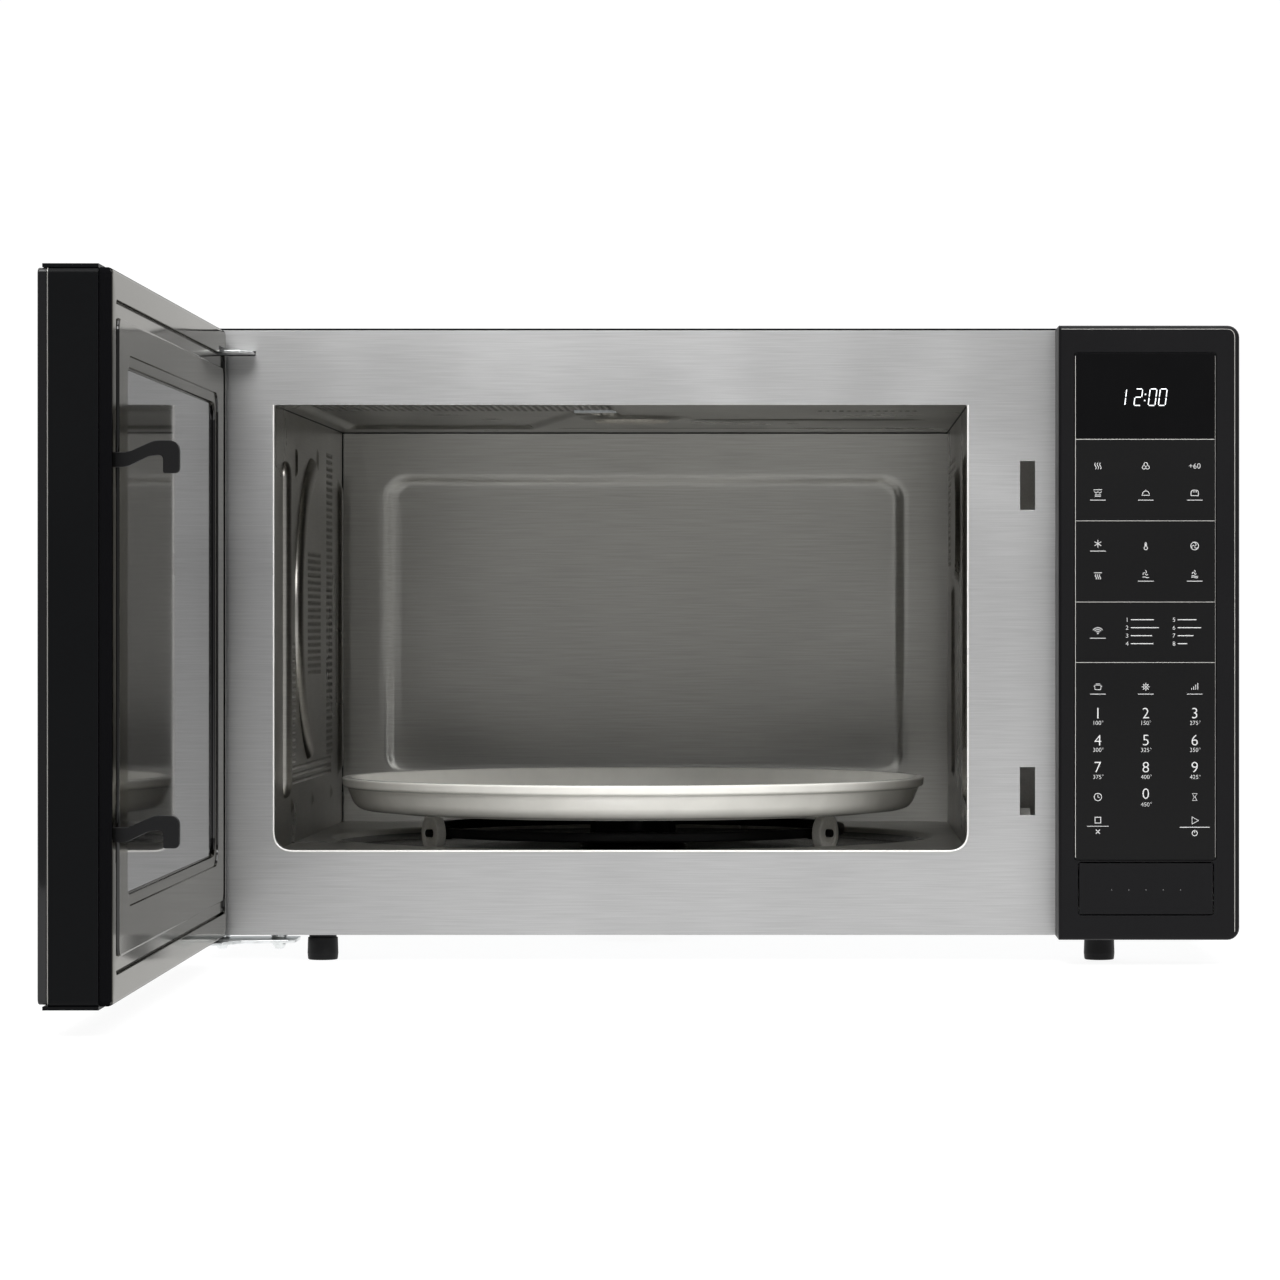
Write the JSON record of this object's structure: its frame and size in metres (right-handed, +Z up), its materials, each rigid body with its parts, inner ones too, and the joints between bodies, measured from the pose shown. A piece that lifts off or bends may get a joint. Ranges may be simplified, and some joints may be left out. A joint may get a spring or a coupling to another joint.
{
  "type": "microwave oven",
  "caption": "Countertop convection microwave oven with a side-hinged black glass door, turntable and keypad panel.",
  "frame": {"origin": "bottom centre of the bounding box, with the door standing open, on the surface that the feet stand on", "axes": "+X to the right seen from the front, +Y from the door to the back, +Z up"},
  "size_m": [0.6366, 0.9792, 0.378],
  "materials": {
    "brushed_steel": "brushed, satin",
    "cavity_steel": "dark grey enamel, satin",
    "galvanised": "galvanised",
    "black_paint": "fine textured black",
    "black_plastic": "satin moulded",
    "gloss_black": "gloss",
    "black_glass": "gloss",
    "window_glass": "dark, gloss",
    "clear_glass": "clear",
    "rubber": "matte",
    "ceramic": "glazed stoneware",
    "white_plastic": "moulded",
    "board_green": "solder resist",
    "zinc": "zinc plated",
    "motor_steel": "plated",
    "mica": "mica sheet"
  },
  "bodies": {
    "body": {"outer_cabinet": "black_paint", "rear_panel": "galvanised", "base_plate": "galvanised", "front_frame": "brushed_steel", "foot_front_left": "rubber", "foot_front_right": "rubber", "foot_rear_left": "rubber", "foot_rear_right": "rubber", "cavity_left_wall": "cavity_steel", "cavity_right_wall": "cavity_steel", "cavity_ceiling": "cavity_steel", "cavity_floor": "cavity_steel", "cavity_back_wall": "cavity_steel", "waveguide_cover": "mica", "turntable_motor": "zinc", "waveguide": "galvanised", "magnetron": "zinc", "hv_transformer": "motor_steel", "hv_capacitor": "zinc", "cooling_fan_motor": "motor_steel", "fan_shroud": "white_plastic", "convection_housing": "galvanised", "convection_heater": "cavity_steel", "convection_motor": "motor_steel", "oven_lamp": "clear_glass", "lamp_housing": "galvanised", "noise_filter_board": "board_green", "cord_gland": "black_plastic", "latch_bracket": "white_plastic", "primary_switch": "black_plastic", "monitor_switch": "black_plastic", "secondary_switch": "black_plastic", "control_panel": "black_plastic", "keypad_membrane": "gloss_black", "display_window": "window_glass", "release_spring": "zinc", "spring_seat": "white_plastic", "control_board": "board_green", "display_module": "gloss_black", "upper_hinge_plate": "zinc", "lower_hinge_plate": "zinc", "hinge_screw_1": "zinc", "hinge_screw_2": "zinc"},
    "door": {"door_front_glass": "black_glass", "door_outer_panel": "black_paint", "door_frame": "galvanised", "choke_cover": "gloss_black", "door_inner_window": "window_glass", "latch_spring": "zinc"},
    "latch": {"latch_head": "black_plastic"},
    "button": {"release_button": "black_plastic"},
    "lever": {"open_lever": "white_plastic"},
    "turntable": {"turntable_tray": "ceramic", "drive_coupler": "black_plastic"},
    "ring": {"roller_ring": "black_plastic"},
    "wheel_1": {"roller_1": "white_plastic"},
    "wheel_2": {"roller_2": "white_plastic"},
    "wheel_3": {"roller_3": "white_plastic"},
    "oven_fan": {"convection_fan": "zinc"},
    "cooler": {"cooling_fan_blade": "white_plastic"}
  },
  "joints": [
    {"name": "door_hinge", "type": "hinge", "parent": "body", "child": "door", "pos_m": [-0.29668, 0.01762, 0], "axis": [0, 0, 1], "range_deg": [-15, 89.2]},
    {"name": "latch_slide", "type": "slide", "parent": "door", "child": "latch", "axis": [0, 0, 1], "range_m": [0, 0.005], "stiffness_N_per_m": 400, "springref_m": -0.002, "deforming": ["latch_spring"]},
    {"name": "button_push", "type": "slide", "parent": "body", "child": "button", "axis": [0, 1, 0], "range_m": [0, 0.005], "stiffness_N_per_m": 600, "springref_m": -0.002, "deforming": ["release_spring"]},
    {"name": "lever_turn", "type": "hinge", "parent": "body", "child": "lever", "pos_m": [0.21082, 0.04063, 0.07], "axis": [1, 0, 0], "range_deg": [0, 13.8]},
    {"name": "turntable_spin", "type": "hinge", "parent": "body", "child": "turntable", "pos_m": [-0.04768, 0.24463, 0.06], "axis": [0, 0, 1], "continuous": true},
    {"name": "ring_spin", "type": "hinge", "parent": "body", "child": "ring", "pos_m": [-0.04768, 0.24463, 0.06], "axis": [0, 0, 1], "continuous": true},
    {"name": "oven_fan_spin", "type": "hinge", "parent": "body", "child": "oven_fan", "pos_m": [-0.27818, 0.26963, 0.209], "axis": [-1, 0, 0], "continuous": true},
    {"name": "cooler_spin", "type": "hinge", "parent": "body", "child": "cooler", "pos_m": [0.24182, 0.46863, 0.205], "axis": [0, 1, 0], "continuous": true},
    {"name": "wheel_1_spin", "type": "hinge", "parent": "ring", "child": "wheel_1", "pos_m": [-0.17022, 0.17388, 0.0706], "axis": [-0.866, -0.5, 0], "continuous": true},
    {"name": "wheel_2_spin", "type": "hinge", "parent": "ring", "child": "wheel_2", "pos_m": [0.07486, 0.17388, 0.0706], "axis": [0.866, -0.5, 0], "continuous": true},
    {"name": "wheel_3_spin", "type": "hinge", "parent": "ring", "child": "wheel_3", "pos_m": [-0.04768, 0.38612, 0.0706], "axis": [0, 1, 0], "continuous": true}
  ],
  "couplings": [
    {"joint": "lever_turn", "follows": "button_push", "rad_per_m": 48},
    {"joint": "ring_spin", "follows": "turntable_spin", "ratio": 0.5},
    {"joint": "wheel_1_spin", "follows": "turntable_spin", "ratio": -5.9958},
    {"joint": "wheel_2_spin", "follows": "turntable_spin", "ratio": -5.9958},
    {"joint": "wheel_3_spin", "follows": "turntable_spin", "ratio": -5.9958}
  ]
}
